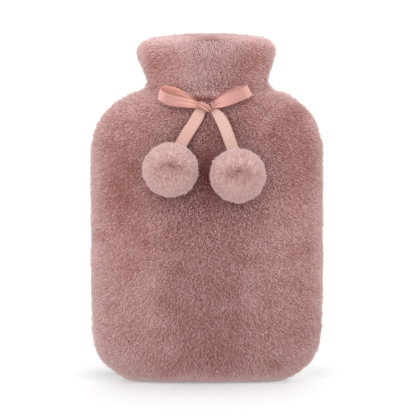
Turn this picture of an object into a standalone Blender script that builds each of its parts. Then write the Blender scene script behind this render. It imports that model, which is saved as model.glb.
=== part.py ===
"""Plush cover for a hot water bottle, standing upright, with a ribbon bow and two pompoms.

Lengths are in metres. The front faces -Y, up is +Z, and the origin is on the floor in the plane
of the side seams. The tables are in millimetres, as measured on the cover, and MM scales them.
The two plush panels are solids as deep as their cloth and pile together.
"""
import math
from collections import namedtuple

import bmesh
import bpy
from mathutils import Matrix, Vector

MM = 0.001
SEAM_GAP = 0.3          # between the two panels, and between any two pieces that touch
STATIONS = 30           # wall sections across a panel, from one side seam to the other
LENS_POWER = 2.2        # 2 is an ellipse; a little more makes the panel fuller at its edges

# Outer face of the cover, a row for each level: half widths to the two side seams, depth of the
# front and of the back from the seam plane, and how far the middle of the row rises over its ends.
Section = namedtuple("Section", "height left right front back rise")
SECTIONS = [Section(*row) for row in (
    (0.0, 66.0, 66.5, 19.0, 18.0, 0.0),
    (1.5, 74.0, 74.0, 21.6, 20.4, 0.0),
    (4.0, 82.5, 81.5, 24.0, 22.6, 0.0),
    (8.5, 89.0, 89.3, 26.2, 24.6, 0.0),
    (15.0, 96.8, 96.4, 27.9, 26.2, 0.0),
    (24.0, 103.8, 103.0, 29.1, 27.3, 0.0),
    (36.0, 109.6, 109.4, 30.1, 28.3, 0.0),
    (52.0, 112.4, 112.0, 30.9, 29.2, 0.0),
    (80.0, 112.9, 112.9, 31.6, 29.8, 0.0),
    (120.0, 113.8, 113.7, 32.0, 30.0, 0.0),
    (165.0, 113.9, 113.8, 32.0, 30.0, 0.0),
    (205.0, 114.6, 113.9, 31.4, 29.6, 0.0),
    (231.0, 113.7, 113.7, 30.5, 28.8, 0.0),
    (246.0, 110.2, 109.5, 29.6, 28.0, 0.0),
    (256.5, 105.0, 105.9, 28.6, 27.2, 0.0),
    (264.5, 98.6, 99.4, 27.4, 26.1, 0.0),
    (271.0, 91.9, 93.4, 26.0, 24.9, 0.0),
    (276.5, 83.6, 85.6, 24.4, 23.5, 0.0),
    (280.8, 74.6, 77.2, 22.6, 21.9, 0.0),
    (284.0, 65.0, 66.2, 21.0, 20.5, 0.0),
    (288.0, 60.4, 61.5, 19.9, 19.5, 0.0),
    (293.5, 59.3, 60.4, 19.6, 19.2, 1.0),
    (300.5, 62.0, 61.9, 19.9, 19.4, 3.5),
    (308.0, 65.3, 64.7, 20.4, 19.9, 7.5),
    (315.0, 68.9, 66.4, 21.0, 20.4, 12.0),
    (321.0, 69.0, 68.2, 21.2, 20.6, 14.0),
    (325.6, 67.5, 66.9, 19.8, 19.2, 13.0),
)]
# The floor face runs in from the foot to the bottom seam.
FLOOR = [Section(*row) for row in (
    (0.0, 56.0, 56.5, 0.0, 0.0, 0.0),
    (0.0, 61.0, 61.5, 9.5, 9.0, 0.0),
)]
# Top of the pile round the mouth.
CREST = Section(328.4, 64.4, 64.0, 16.2, 15.8, 11.6)
RIM_TILT = 0.8          # the mouth stands a little higher on the right

# The hollow that the bottle fills, from the mouth down.
Hollow = namedtuple("Hollow", "height half_width half_depth rise")
HOLLOW = [Hollow(*row) for row in (
    (322.0, 59.4, 11.4, 13.4),
    (311.0, 55.5, 10.8, 8.5),
    (299.0, 52.0, 10.6, 3.0),
    (287.0, 51.0, 11.2, 0.0),
    (278.0, 58.5, 13.0, 0.0),
    (269.0, 74.0, 16.0, 0.0),
    (258.0, 89.0, 18.6, 0.0),
    (243.0, 99.5, 20.6, 0.0),
    (215.0, 104.0, 22.2, 0.0),
    (165.0, 104.5, 22.8, 0.0),
    (110.0, 104.2, 22.6, 0.0),
    (60.0, 102.5, 21.6, 0.0),
    (32.0, 96.5, 19.8, 0.0),
    (18.0, 86.0, 17.0, 0.0),
    (10.5, 75.0, 13.2, 0.0),
    (8.5, 62.0, 7.0, 0.0),
    (8.5, 56.0, 0.0, 0.0),
)]

# Soft folds and hollows in the front panel: the middle, the reach and the lift of each.
Fold = namedtuple("Fold", "x height half_width half_height lift")
FOLDS = [Fold(*row) for row in (
    (-50.0, 290.0, 10.0, 8.0, -2.4),     # tuck at the left of the waist
    (55.0, 293.0, 9.0, 9.0, -1.6),       # tuck at the right of the waist
    (-16.0, 309.0, 11.0, 18.0, 1.7),     # ridge of the collar
    (-41.0, 302.0, 9.0, 13.0, -1.5),
    (27.0, 308.0, 12.0, 15.0, -1.6),
    (-1.0, 272.0, 11.0, 6.0, -1.3),      # the knot presses into the pile
    (-45.0, 75.0, 17.0, 62.0, 1.3),      # long soft ridge below the left pompom
    (-12.0, 70.0, 19.0, 60.0, -0.9),
    (37.0, 85.0, 14.0, 38.0, 1.0),
    (10.0, 150.0, 34.0, 45.0, -1.2),     # hollow between and under the pompoms
    (-86.0, 190.0, 16.0, 38.0, -1.2),
    (90.0, 220.0, 13.0, 24.0, -1.0),
)]

RIBBON_WIDTH = 11.8
RIBBON_THICK = 1.0
RIBBON_STEPS = 3        # strips between two rows of a ribbon's table
# Middle line of each run of the ribbon: out is the distance in front of the seam plane, slant
# turns the width direction from upright towards +X and lean brings its top forwards, in degrees,
# and spread is the share of the full width, less where the knot gathers it.
Run = namedtuple("Run", "x out height slant lean spread")
RUNS = {
    "loop_left": [Run(*row) for row in (
        (-3.5, 32.4, 268.4, 20.0, 4.0, 0.36),
        (-8.0, 33.8, 269.7, 12.0, 10.0, 0.46),
        (-12.6, 35.2, 271.0, 8.0, 16.0, 0.66),
        (-19.2, 36.6, 272.3, 6.0, 20.0, 0.80),
        (-26.8, 37.8, 273.4, 5.0, 22.0, 0.90),
        (-34.4, 38.0, 274.8, 8.0, 24.0, 1.00),
        (-41.0, 36.6, 277.4, 12.0, 25.0, 1.00),
        (-45.6, 33.0, 280.8, 15.0, 25.0, 1.00),
        (-44.6, 29.6, 282.6, 15.0, 25.0, 1.00),
        (-39.4, 27.8, 283.2, 15.0, 24.0, 1.00),
        (-32.6, 27.4, 282.2, 17.0, 22.0, 1.00),
        (-25.6, 28.2, 279.6, 20.0, 18.0, 0.92),
        (-19.0, 29.0, 276.2, 24.0, 12.0, 0.76),
        (-12.0, 30.4, 272.6, 28.0, 6.0, 0.52),
        (-5.0, 31.2, 269.0, 32.0, 2.0, 0.36),
    )],
    "loop_right": [Run(*row) for row in (
        (2.0, 32.4, 268.6, -10.0, 0.0, 0.34),
        (6.6, 33.8, 270.2, -14.0, 4.0, 0.50),
        (12.0, 35.4, 272.4, -16.0, 8.0, 0.86),
        (19.8, 37.2, 275.4, -17.0, 11.0, 1.00),
        (27.4, 37.8, 278.2, -19.0, 13.0, 1.00),
        (34.8, 36.8, 281.2, -23.0, 14.0, 1.00),
        (40.2, 33.6, 284.0, -28.0, 14.0, 1.00),
        (40.4, 30.4, 284.6, -28.0, 14.0, 1.00),
        (35.8, 28.2, 283.2, -26.0, 14.0, 1.00),
        (29.2, 27.6, 281.0, -24.0, 13.0, 1.00),
        (21.8, 28.2, 278.0, -22.0, 10.0, 0.96),
        (14.2, 29.4, 274.8, -20.0, 6.0, 0.74),
        (4.0, 31.0, 270.2, -18.0, 2.0, 0.36),
    )],
    "tail_left": [Run(*row) for row in (
        (-3.6, 31.2, 267.6, -60.0, 0.0, 0.40),
        (-6.4, 31.6, 264.6, -66.0, 0.0, 0.76),
        (-8.6, 32.8, 259.6, -64.0, 0.0, 0.96),
        (-12.6, 34.6, 252.8, -58.0, 0.0, 1.00),
        (-18.6, 38.2, 243.9, -56.0, 0.0, 1.00),
        (-24.0, 43.6, 234.6, -56.0, 0.0, 1.00),
        (-27.7, 49.2, 227.5, -56.0, 0.0, 1.00),
    )],
    "tail_right": [Run(*row) for row in (
        (2.6, 31.4, 268.4, 44.0, 0.0, 0.34),
        (5.6, 32.0, 265.8, 46.0, 0.0, 0.52),
        (9.4, 33.0, 262.0, 49.0, 0.0, 0.78),
        (13.6, 34.6, 256.2, 56.0, 0.0, 0.98),
        (17.0, 36.2, 249.4, 66.0, 0.0, 1.00),
        (20.8, 40.2, 239.6, 68.0, 0.0, 1.00),
        (24.2, 45.6, 230.2, 69.0, 0.0, 1.00),
        (26.3, 50.2, 223.1, 69.0, 0.0, 1.00),
    )],
}

# The knot is wound round an axis that leans to the right: along the axis, and out from it.
Turn = namedtuple("Turn", "along radius")
KNOT_TURNS = [Turn(*row) for row in (
    (5.0, 0.0), (4.7, 2.6), (3.9, 4.0), (2.6, 4.6), (1.4, 4.1), (0.1, 4.9), (-1.4, 4.3),
    (-2.7, 4.7), (-3.9, 4.0), (-4.7, 2.6), (-5.0, 0.0),
)]
KNOT_X = -0.9
KNOT_OUT = 31.5
KNOT_HEIGHT = 267.7
KNOT_LEAN = 35.0        # degrees from upright
KNOT_FLAT = 0.9         # the fingers that tied it flattened it
KNOT_STEPS = 14

POMPOM_RADIUS = 27.4
POMPOM_CORE = 19.0
POMPOM_SHOULDER = 25.4  # where a lock starts to taper to its tip
POMPOM_POINTS = 72      # corners of the core, which has about twice as many faces and locks
ROOT_SHARE = 0.88       # size of a lock at its root, of its face of the core
SHOULDER_SHARE = 0.80   # and at its shoulder, of what its face spreads to there
ENTRY_HALF_WIDTH = 7.8  # the locks are parted where the ribbon goes in
ENTRY_HALF_DEPTH = 2.6
Pompom = namedtuple("Pompom", "name x out height run")
POMPOMS = (
    Pompom("pompom_left", -34.6, 55.6, 209.4, "tail_left"),
    Pompom("pompom_right", 29.5, 55.4, 204.1, "tail_right"),
)


def material(name, colour, roughness):
    """A plain cloth material."""
    made = bpy.data.materials.new(name)
    made.use_nodes = True
    shader = made.node_tree.nodes["Principled BSDF"]
    shader.inputs["Base Color"].default_value = (*colour, 1.0)
    shader.inputs["Roughness"].default_value = roughness
    shader.inputs["Metallic"].default_value = 0.0
    return made


def add_object(name, bm, home, finish):
    """An object from a bmesh, with its faces pointing out."""
    bmesh.ops.recalc_face_normals(bm, faces=bm.faces)
    mesh = bpy.data.meshes.new(name)
    bm.to_mesh(mesh)
    bm.free()
    mesh.materials.append(finish)
    made = bpy.data.objects.new(name, mesh)
    home.objects.link(made)
    return made


def lens_point(left, right, depth, turn):
    """Across and out on a half lens; turn runs from 0 at the right seam to 1 at the left."""
    angle = math.pi * turn
    across = math.cos(angle)
    half_width = right if across > 0 else left
    bow = max(0.0, math.sin(angle)) ** (2 / LENS_POWER)
    return half_width * math.copysign(abs(across) ** (2 / LENS_POWER), across), depth * bow, bow


def fold_lift(x, height):
    """How far the folds lift the front at a point."""
    return sum(fold.lift * math.exp(-((x - fold.x) / fold.half_width) ** 2
                                    - ((height - fold.height) / fold.half_height) ** 2)
               for fold in FOLDS)


def wall_loop(turn, front):
    """One closed section of a panel's wall: up the outside, over the mouth, down the hollow."""
    points = []
    for row in FLOOR + SECTIONS + [CREST]:
        x, out, bow = lens_point(row.left, row.right, row.front if front else row.back, turn)
        height = row.height + row.rise * bow
        if row is CREST:
            height += RIM_TILT * x / row.right
        elif front and row.height > 0:
            out += bow * fold_lift(x, height)
        points.append((x, out, height))
    for row in HOLLOW:
        x, out, bow = lens_point(row.half_width, row.half_width, row.half_depth, turn)
        points.append((x, out, row.height + row.rise * bow))
    side = -1 if front else 1
    return [Vector((x, side * (out + SEAM_GAP / 2), height)) * MM for x, out, height in points]


def make_panel(name, front, home, finish):
    """A plush panel: wall sections from seam to seam, closed by a strip at each side seam."""
    bm = bmesh.new()
    loops = [[bm.verts.new(point) for point in wall_loop(step / STATIONS, front)]
             for step in range(STATIONS + 1)]
    for here, there in zip(loops, loops[1:]):
        for index in range(len(here)):
            bm.faces.new((here[index - 1], here[index], there[index], there[index - 1]))
    bm.faces.new(loops[0])
    bm.faces.new(loops[-1])
    panel = add_object(name, bm, home, finish)
    panel.data.shade_smooth()
    panel.data.set_sharp_from_angle(angle=math.radians(60))
    return panel


def between(rows, steps):
    """Rows of a table with more rows between them on a smooth curve."""
    made = []
    for index in range(len(rows) - 1):
        near = [rows[max(0, min(len(rows) - 1, index + shift))] for shift in (-1, 0, 1, 2)]
        for step in range(steps):
            t = step / steps
            made.append(type(rows[0])(*(
                0.5 * (2 * b + (c - a) * t + (2 * a - 5 * b + 4 * c - d) * t ** 2
                       + (3 * b - a - 3 * c + d) * t ** 3)
                for a, b, c, d in zip(*near))))
    return made + [rows[-1]]


def width_direction(run):
    """Unit vector across the ribbon at a row of its table."""
    slant = math.radians(run.slant)
    lean = math.radians(run.lean)
    return Vector((math.sin(slant) * math.cos(lean), -math.sin(lean),
                   math.cos(slant) * math.cos(lean)))


def make_ribbon_run(name, home, finish):
    """One run of the ribbon: a strip along its table, made solid."""
    bm = bmesh.new()
    rungs = []
    for run in between(RUNS[name], RIBBON_STEPS):
        middle = Vector((run.x, -run.out, run.height))
        half = width_direction(run) * RIBBON_WIDTH * run.spread / 2
        rungs.append([bm.verts.new((middle + half * side) * MM) for side in (-1, 0, 1)])
    for here, there in zip(rungs, rungs[1:]):
        for index in (0, 1):
            bm.faces.new((here[index], here[index + 1], there[index + 1], there[index]))
    strip = add_object(name, bm, home, finish)
    solid = strip.modifiers.new("thickness", "SOLIDIFY")
    solid.thickness = RIBBON_THICK * MM
    solid.offset = 0.0
    return strip


def make_knot(name, home, finish):
    """The wound knot: a turned profile, leaned over and flattened a little."""
    bm = bmesh.new()
    edge = [bm.verts.new((turn.radius * MM, 0.0, turn.along * MM)) for turn in KNOT_TURNS]
    for here, there in zip(edge, edge[1:]):
        bm.edges.new((here, there))
    knot = add_object(name, bm, home, finish)
    screw = knot.modifiers.new("turns", "SCREW")
    screw.steps = KNOT_STEPS
    screw.render_steps = KNOT_STEPS
    screw.use_merge_vertices = True
    screw.merge_threshold = 0.00001
    place = (Matrix.Translation(Vector((KNOT_X, -KNOT_OUT, KNOT_HEIGHT)) * MM)
             @ Matrix.Diagonal((1.0, KNOT_FLAT, 1.0, 1.0))
             @ Matrix.Rotation(math.radians(KNOT_LEAN), 4, "Y"))
    knot.matrix_world = place
    return knot


def make_bow(home, cutters, finish):
    """The ribbon, tied in a bow: the knot with the loops and tails joined to it."""
    bow = make_knot("ribbon_bow", home, finish)
    for name in RUNS:
        run = make_ribbon_run(name, cutters, finish)
        run.hide_render = True
        run.display_type = "WIRE"
        join = bow.modifiers.new(name, "BOOLEAN")
        join.operation = "UNION"
        join.solver = "EXACT"
        join.object = run
    return bow


def front_out(x, height):
    """How far the front panel stands out at a point, between the rows of its table."""
    for low, high in zip(SECTIONS, SECTIONS[1:]):
        if low.height <= height <= high.height:
            share = (height - low.height) / (high.height - low.height)
            half_width = low.right + (high.right - low.right) * share
            depth = low.front + (high.front - low.front) * share
            bow = max(0.0, 1 - abs(x / half_width) ** LENS_POWER) ** (1 / LENS_POWER)
            return SEAM_GAP / 2 + bow * (depth + fold_lift(x, height))
    return 0.0


def core_points(count):
    """Points spread evenly over a unit sphere, on a spiral."""
    golden = math.pi * (3 - math.sqrt(5))
    made = []
    for index in range(count):
        up = 1 - 2 * (index + 0.5) / count
        ring = math.sqrt(1 - up * up)
        made.append(Vector((ring * math.cos(golden * index), up, ring * math.sin(golden * index))))
    return made


def make_pompom(pompom, home, finish):
    """A pompom: a core with three-sided locks that stand apart and fan out to their tips."""
    centre = Vector((pompom.x, -pompom.out, pompom.height))
    end, before = (Vector((run.x, -run.out, run.height)) for run in RUNS[pompom.run][:-3:-1])
    entry_across = width_direction(RUNS[pompom.run][-1])
    entry_along = (before - end).normalized()
    entry_normal = entry_along.cross(entry_across).normalized()

    def in_entry(point):
        """True where the ribbon goes into the pompom."""
        away = point - end
        return (away.dot(entry_along) > -2 and abs(away.dot(entry_across)) < ENTRY_HALF_WIDTH
                and abs(away.dot(entry_normal)) < ENTRY_HALF_DEPTH)

    def reach(direction, radius):
        """The point of a lock in a direction, drawn in where the cover presses on it."""
        point = centre + direction * radius
        while -point.y < front_out(point.x, point.z) + 2 * SEAM_GAP and radius > POMPOM_CORE:
            radius -= SEAM_GAP
            point = centre + direction * radius
        return point

    bm = bmesh.new()
    for point in core_points(POMPOM_POINTS):
        bm.verts.new(centre + point * POMPOM_CORE)
    bmesh.ops.convex_hull(bm, input=bm.verts)
    for face in list(bm.faces):
        corners = [vert.co - centre for vert in face.verts]
        middle = sum(corners, Vector()) / 3
        rim = [centre + middle.lerp(corner, ROOT_SHARE) for corner in corners]
        fanned = [middle.normalized().lerp(corner.normalized(), SHOULDER_SHARE).normalized()
                  for corner in corners]
        shoulder = [reach(direction, POMPOM_SHOULDER) for direction in fanned]
        tip = reach(middle.normalized(), POMPOM_RADIUS)
        middle_way = [point.lerp(corner, 0.5) for point, corner in zip(rim, shoulder)]
        if any(in_entry(point) for point in shoulder + middle_way + [tip]):
            continue
        root = [bm.verts.new(point) for point in rim]
        top = [bm.verts.new(point) for point in shoulder]
        peak = bm.verts.new(tip)
        base = list(face.verts)
        bm.faces.remove(face)
        for index in range(3):
            last = index - 1
            bm.faces.new((base[last], base[index], root[index], root[last]))
            bm.faces.new((root[last], root[index], top[index], top[last]))
            bm.faces.new((top[last], top[index], peak))
    bmesh.ops.scale(bm, vec=(MM, MM, MM), verts=bm.verts)
    return add_object(pompom.name, bm, home, finish)


def main():
    for old in list(bpy.data.objects):
        bpy.data.objects.remove(old)
    home = bpy.data.collections.new("hot_water_bottle_cover")
    cutters = bpy.data.collections.new("cutters")
    for collection in (home, cutters):
        bpy.context.scene.collection.children.link(collection)
    plush = material("plush", (0.33, 0.165, 0.155), 0.95)
    pale_plush = material("pale_plush", (0.56, 0.37, 0.36), 0.95)
    satin = material("satin", (0.68, 0.40, 0.33), 0.4)
    make_panel("cover_front", True, home, plush)
    make_panel("cover_back", False, home, plush)
    make_bow(home, cutters, satin)
    for pompom in POMPOMS:
        make_pompom(pompom, home, pale_plush)


main()
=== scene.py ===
"""Looks of the plush cover for a hot water bottle: knit backing, deep pile, satin bow, pompoms.

The front faces -Y and up is +Z. The tables and constants of the cover are in millimetres, as on
the solids, and MM scales them to metres where a mesh is made. Those of the stage are in metres.
"""
import math
from collections import namedtuple

import bpy
import numpy as np
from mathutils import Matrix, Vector
from mathutils.kdtree import KDTree


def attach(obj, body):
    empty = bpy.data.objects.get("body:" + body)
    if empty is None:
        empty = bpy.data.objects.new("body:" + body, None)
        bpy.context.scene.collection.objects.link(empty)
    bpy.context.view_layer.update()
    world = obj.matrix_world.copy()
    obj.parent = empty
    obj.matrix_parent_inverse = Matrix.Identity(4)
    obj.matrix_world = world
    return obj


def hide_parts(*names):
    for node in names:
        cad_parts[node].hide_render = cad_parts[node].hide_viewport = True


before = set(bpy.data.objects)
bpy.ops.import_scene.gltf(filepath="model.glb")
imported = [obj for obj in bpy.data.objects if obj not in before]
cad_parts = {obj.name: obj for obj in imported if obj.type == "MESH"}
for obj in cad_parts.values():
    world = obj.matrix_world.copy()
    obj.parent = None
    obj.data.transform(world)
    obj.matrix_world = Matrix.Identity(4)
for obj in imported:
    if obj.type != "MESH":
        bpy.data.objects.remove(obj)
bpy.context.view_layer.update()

MM = 0.001
SEAM_GAP = 0.3        # between the two panels
LENS_POWER = 2.2      # 2 is an ellipse; a little more makes the panel fuller at its edges

# Outer face of the cover, a row for each level: half widths to the two side seams, depth of the
# front and of the back from the seam plane, and how far the middle of the row rises over its ends.
Section = namedtuple("Section", "height left right front back rise")
SECTIONS = [Section(*row) for row in (
    (0, 66, 66.5, 19, 18, 0),
    (1.5, 74, 74, 21.6, 20.4, 0),
    (4, 82.5, 81.5, 24, 22.6, 0),
    (8.5, 89, 89.3, 26.2, 24.6, 0),
    (15, 96.8, 96.4, 27.9, 26.2, 0),
    (24, 103.8, 103, 29.1, 27.3, 0),
    (36, 109.6, 109.4, 30.1, 28.3, 0),
    (52, 112.4, 112, 30.9, 29.2, 0),
    (80, 112.9, 112.9, 31.6, 29.8, 0),
    (120, 113.8, 113.7, 32, 30, 0),
    (165, 113.9, 113.8, 32, 30, 0),
    (205, 114.6, 113.9, 31.4, 29.6, 0),
    (231, 113.7, 113.7, 30.5, 28.8, 0),
    (246, 110.2, 109.5, 29.6, 28, 0),
    (256.5, 105, 105.9, 28.6, 27.2, 0),
    (264.5, 98.6, 99.4, 27.4, 26.1, 0),
    (271, 91.9, 93.4, 26, 24.9, 0),
    (276.5, 83.6, 85.6, 24.4, 23.5, 0),
    (280.8, 74.6, 77.2, 22.6, 21.9, 0),
    (284, 65, 66.2, 21, 20.5, 0),
    (288, 60.4, 61.5, 19.9, 19.5, 0),
    (293.5, 59.3, 60.4, 19.6, 19.2, 1),
    (300.5, 62, 61.9, 19.9, 19.4, 3.5),
    (308, 65.3, 64.7, 20.4, 19.9, 7.5),
    (315, 68.9, 66.4, 21, 20.4, 12),
    (321, 69, 68.2, 21.2, 20.6, 14),
    (325.6, 67.5, 66.9, 19.8, 19.2, 13),
)]
# The floor face runs in from the foot to the bottom seam.
FLOOR = [Section(*row) for row in (
    (0, 56, 56.5, 0, 0, 0),
    (0, 61, 61.5, 9.5, 9, 0),
)]
# The pile turns over the rim of the mouth and a little way down inside.
RIM = [Section(*row) for row in (
    (328.4, 64.4, 64, 16.2, 15.8, 11.6),
    (328.2, 62, 61.6, 13.2, 12.9, 11.4),
    (325, 60.2, 60, 11, 10.8, 11.6),
    (317, 58.6, 58.6, 9.9, 9.7, 11),
)]
RIM_TILT = 0.8        # the mouth stands a little higher on the right
RIM_CLOTH = Section(321.0, 60.6, 60.4, 13.0, 12.7, 12.4)    # top edge of the cloth
RIM_FROM = 312.0      # from here up the cloth draws in to its top edge
RIM_OVER = 13.0       # over this height

# Soft folds and hollows in the front panel: the middle, the reach and the lift of each.
Patch = namedtuple("Patch", "x height half_width half_height lift")
FOLDS = [Patch(*row) for row in (
    (-50, 290, 10, 8, -2.4),        # tuck at the left of the waist
    (55, 293, 9, 9, -1.6),          # tuck at the right of the waist
    (-16, 309, 11, 18, 1.7),        # ridge of the collar
    (-41, 302, 9, 13, -1.5),        # hollows at its left and right
    (27, 308, 12, 15, -1.6),
    (-1, 272, 11, 6, -1.3),         # the knot presses into the pile
    (-45, 75, 17, 62, 1.3),         # long soft ridge below the left pompom
    (-12, 70, 19, 60, -0.9),        # hollow beside it
    (37, 85, 14, 38, 1),            # ridge below the right pompom
    (10, 150, 34, 45, -1.2),        # hollow between and under the pompoms
    (-86, 190, 16, 38, -1.2),       # hollows near the left edge and at the right shoulder
    (90, 220, 13, 24, -1),
)]

# Fine surfaces of the panels.
ROW_STEP = 1.6        # between the rows of a panel's fine surface
ROW_BLUR = 2.4        # the rows are rounded off over this distance
BLUR_REACH = 3        # times that distance: rows further off don't count
COLUMNS = 160         # across a panel, from seam to seam
CLOTH_EVERY = 4       # the cloth takes each fourth row and column of the fine surface
CLOTH_SHORT = 10      # and stops this many rows before its end, inside the mouth
CLOTH_THICK = 2.0
PILE_DEPTH = 7.0      # from the cloth to the tips

# The panels: front or not, label, pieces of pile from the foot up, strands, seed.
PANELS = (
    (True, "front", ("low", "middle", "top"), 148000, 3),
    (False, "back", ("low", "top"), 46000, 4),
)

# Strands, on panels and pompoms alike.
STRAND_TWIST = 0.4    # how far the tip's edge turns from lying flat
SIDE_TURN = 0.5       # how far the shading turns across a strand, and on to its tip
TIP_TURN = 0.3
FLAT_JITTER = 0.05    # turns a strand at random where it stands straight out
WIDTH_RANGE = (0.75, 1.2)       # of a strand, as shares of the usual width
STRAY_WIDTH = 0.6     # share of it that a stray strand has
MAP_HALF = 0.01       # half the width of a strand in the colour map
MAP_ENDS = (0.02, 0.98)     # its root and its tip there
TONE_LIMITS = (0.02, 0.98)      # from the darkest to the lightest
MIDDLE_TONE = 0.5

# The pile of the panels. Lean is how far a tip lies from over its root.
STRAND_WIDTH = 0.42
STRAND_LEAN = 1.4     # at random
NAP_LEAN = 2.4        # as the pile is brushed
NAP_HOLD = 0.2        # brushed strands lean less at random
ROOT_SINK = 0.4       # the roots stand this deep in the cloth
FLOOR_THIN = 0.5      # share of the strands that the floor face does without
LEAST_SQUARE = 0.3    # least square of a step of the surface, where its rows crowd
# Painted light among the strands: the long ones are painted paler, as if their tips catch the light,
# and the short ones darker, as if in shade.
HEIGHT_SPREAD = 0.45  # neighbours differ by turns: long and pale, short and dark
TONE_SPREAD = 0.34
PILE_DROP = 0.5       # most tips lie this far inside the outer face
STRAY_SHARE = 0.03    # a few strands stand out over it
STRAY_HEIGHT = 0.9
FLOOR_HEIGHTS = (0.25, 0.5)     # the lowest tips end this high, and up to so much higher
SPLAY = 0.8           # the lowest strands are pressed out over the floor
SPLAY_HEIGHT = 12.0
TUCK = 0.35           # and drawn in under the cover
TUCK_HEIGHT = 6.0
BACK_PAINTED_LIGHT = 0.12      # painted light: the back's thinner pile is paler, against its darker gaps
EDGE_PAINTED_LIGHT = 0.27      # painted light: paler pile where its strands are seen from the side
EDGE_EVEN = 0.6       # and its strands differ less there

# Neighbours differ less in the middle of a panel, and less still round the rim.
CONTRAST_MIDDLE = 0.75
CONTRAST_REACH = 60.0 # in full from this far out
RIM_CONTRAST = 0.3    # what is taken off at the rim
RIM_CONTRAST_FROM = 318.0
RIM_CONTRAST_OVER = 20.0

# How the pile is brushed: outwards and down on the body, and fanned out from the middle, and a
# little down, on the collar.
BODY_FAN = 30.0       # outwards in full from this far from the middle
BODY_BRUSH = 0.75
BRUSH_LEAST = 0.1     # the brushing grows from this share in the middle
BRUSH_FULL = 85.0     # to the whole of it this far out
COLLAR_FAN = 35.0     # outwards by 1 for each time this far from the middle
COLLAR_SHIFT = 0.15   # and less so on the right
COLLAR_ACROSS = (-1.8, 1.6)     # the most to each side
COLLAR_TOP = 342.0    # not down at all at the top
COLLAR_EASE = 65.0    # and down by 1 for each time this far below it
COLLAR_DOWN = -0.6    # the most
WAIST_TOP = 298.0     # the collar's brushing turns to the body's from here down
WAIST_OVER = 16.0

# The outline is a little uneven, by two waves that bend each other.
RIPPLE = 0.7
RIPPLE_ACROSS = (0.9, 0.31)     # radians to a millimetre: the wave, and its bend
RIPPLE_UP = (0.8, 0.37)
RIPPLE_BEND = 2

# Small soft patches of tone at random places on the front.
CLOUDS = 240
CLOUD_SEED = 21
CLOUD_SIDE = 115
CLOUD_TOP = 280
CLOUD_REACH = (5, 11)
CLOUD_TONE = 0.09
EVEN_STEPS = (0.7548776662, 0.5698402909)    # steps that spread points evenly over a cell

# Painted light and shade in the front's pile: lighter and darker places that stand in for the shadows
# of the pompoms, bow and knot, the shade in hollows, and the light on the collar, the rim and the
# edges, and in part for where the pile is brushed one way or the other.
PAINTED_SHADES = [Patch(*row) for row in (
    (8, 175, 34, 50, -0.05),        # painted shadow between and under the pompoms
    (1, 204, 11, 28, -0.44),
    (22, 250, 20, 16, -0.12),
    (-13, 190, 8, 9, 0.1),
    (-86, 198, 22, 60, -0.28),      # painted shade and light down the left side, from the shoulder
    (-98, 229, 16, 14, -0.13),
    (-84, 246, 9, 12, -0.12),
    (-90, 190, 10, 9, -0.08),
    (-86, 183, 12, 14, -0.12),
    (-66, 155, 22, 34, -0.08),
    (-74, 144, 14, 16, 0.2),
    (-80, 110, 20, 60, -0.08),
    (-66, 46, 18, 16, -0.14),
    (85, 235, 22, 34, -0.24),       # painted shade and light down the right side, from the shoulder
    (72, 240, 22, 26, -0.1),
    (98, 238, 7, 9, -0.16),
    (80, 238, 7, 8, 0.08),
    (100, 206, 10, 24, -0.16),
    (82, 190, 13, 24, -0.19),
    (98, 130, 12, 30, -0.18),
    (81, 128, 9, 10, -0.08),
    (80, 65, 28, 28, -0.14),
    (92, 46, 13, 18, -0.11),
    (-60, 78, 26, 70, 0.04),        # painted light and shade in strips down the middle, partly for the brushing
    (-2, 125, 16, 34, 0.04),
    (0, 100, 50, 80, 0.11),
    (20, 90, 16, 26, 0.06),
    (37, 85, 9, 40, 0.03),
    (-8, 45, 26, 26, -0.05),
    (-5, 303, 18, 30, 0.44),        # painted light on the collar and its rim, shade at its sides
    (4, 326, 30, 12, 0.18),
    (-44, 308, 20, 20, -0.28),
    (46, 314, 16, 26, -0.3),
    (-56, 308, 6, 16, -0.15),
    (58, 308, 7, 16, -0.12),
    (0, 284, 16, 8, 0.28),
    (-6, 341, 64, 11, 0.64),
    (50, 341, 30, 11, 0.16),
    (0, 331, 45, 6, 0.12),
    (-9.5, 277, 4.5, 3.5, -0.9),    # painted shade in the hollows round the knot
    (0.5, 275.5, 6, 3, -0.8),
    (7.5, 270.5, 2.5, 3, -0.5),
    (-5, 262, 7, 4, -0.35),
    (48, 247, 16, 10, 0.06),        # painted light and shade round the bow
    (58, 236, 16, 11, -0.13),
    (-13, 284, 9, 8, 0.2),
    (-13, 238, 8, 8, 0.16),
    (18, 268, 8, 8, 0.1),
    (28, 264, 16, 8, 0.22),
    (-40, 248, 12, 12, 0.1),
    (0, 3, 80, 8, 0.22),            # painted light along the foot and the side edges
    (52, 3, 34, 8, 0.12),
    (-96, 16, 20, 14, 0.14),
    (-112, 120, 12, 110, 0.1),
    (-110, 150, 7, 100, 0.09),
    (110, 130, 7, 100, 0.11),
    (112, 185, 18, 150, -0.03),
)]

# Places where the pile is longer or shorter, on both sides of the middle and on both panels.
FULLNESS = [Patch(*row) for row in (
    (104, 22, 18, 20, 2),           # the lower corners
    (114, 85, 12, 60, 1),           # the edges above them
    (58, 338, 9, 7, 1.6),           # the upper corners
    (78, 282, 14, 6, 0.9),          # the shoulders beside the waist
    (5, 276, 7, 4, -1.6),           # pressed in round the knot
)]

# Ribbon.
RIBBON_WIDTH = 11.8
RIBBON_THICK = 0.4
RIBBON_COLUMNS = 11
RIBBON_STEPS = 5      # rows to a step of the table
GATHER = 1.3          # the narrower the ribbon is drawn, the deeper its pleats
PLEAT_WAVES = 2.2     # waves of them across it
PLEAT_SHIFT = 0.6

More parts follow.
